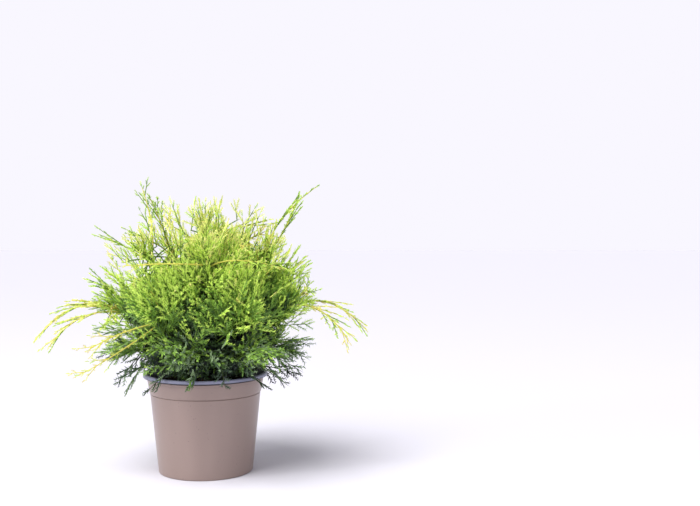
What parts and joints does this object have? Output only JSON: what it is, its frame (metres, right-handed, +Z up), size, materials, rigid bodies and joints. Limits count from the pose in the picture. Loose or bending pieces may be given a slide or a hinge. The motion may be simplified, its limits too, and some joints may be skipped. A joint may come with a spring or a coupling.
{
  "type": "potted pfitzer juniper",
  "caption": "Low, spreading juniper shrub with a dense mound of fine scaly sprays and long arching shoots, in a round tapered nursery pot with a rolled lip.",
  "frame": {"origin": "centre of the pot's flat underside", "axes": "+Z up along the pot's axis, -Y towards the side of the plant that faces the camera in the picture"},
  "size_m": [0.4709, 0.3958, 0.4047],
  "materials": {
    "pot": "satin taupe plastic",
    "soil": "dark moist peat",
    "bark": "rough red-brown bark",
    "foliage": "scaly evergreen foliage"
  },
  "bodies": {
    "root": {"bough_crest": "bark", "bough_flank_1": "bark", "bough_flank_2": "bark", "bough_flank_3": "bark", "bough_flank_4": "bark", "bough_flank_5": "bark", "bough_flank_6": "bark", "bough_shoulder_1": "bark", "bough_shoulder_2": "bark", "bough_shoulder_3": "bark", "bough_shoulder_4": "bark", "bough_shoulder_5": "bark", "bough_skirt_1": "bark", "bough_skirt_2": "bark", "bough_skirt_3": "bark", "bough_skirt_4": "bark", "bough_skirt_5": "bark", "bough_skirt_6": "bark", "bough_skirt_7": "bark", "foliage_crest": "foliage", "foliage_flank_1": "foliage", "foliage_flank_2": "foliage", "foliage_flank_3": "foliage", "foliage_flank_4": "foliage", "foliage_flank_5": "foliage", "foliage_flank_6": "foliage", "foliage_shoulder_1": "foliage", "foliage_shoulder_2": "foliage", "foliage_shoulder_3": "foliage", "foliage_shoulder_4": "foliage", "foliage_shoulder_5": "foliage", "foliage_skirt_1": "foliage", "foliage_skirt_2": "foliage", "foliage_skirt_3": "foliage", "foliage_skirt_4": "foliage", "foliage_skirt_5": "foliage", "foliage_skirt_6": "foliage", "foliage_skirt_7": "foliage", "pot": "pot", "soil": "soil", "trunk": "bark"}
  },
  "joints": []
}
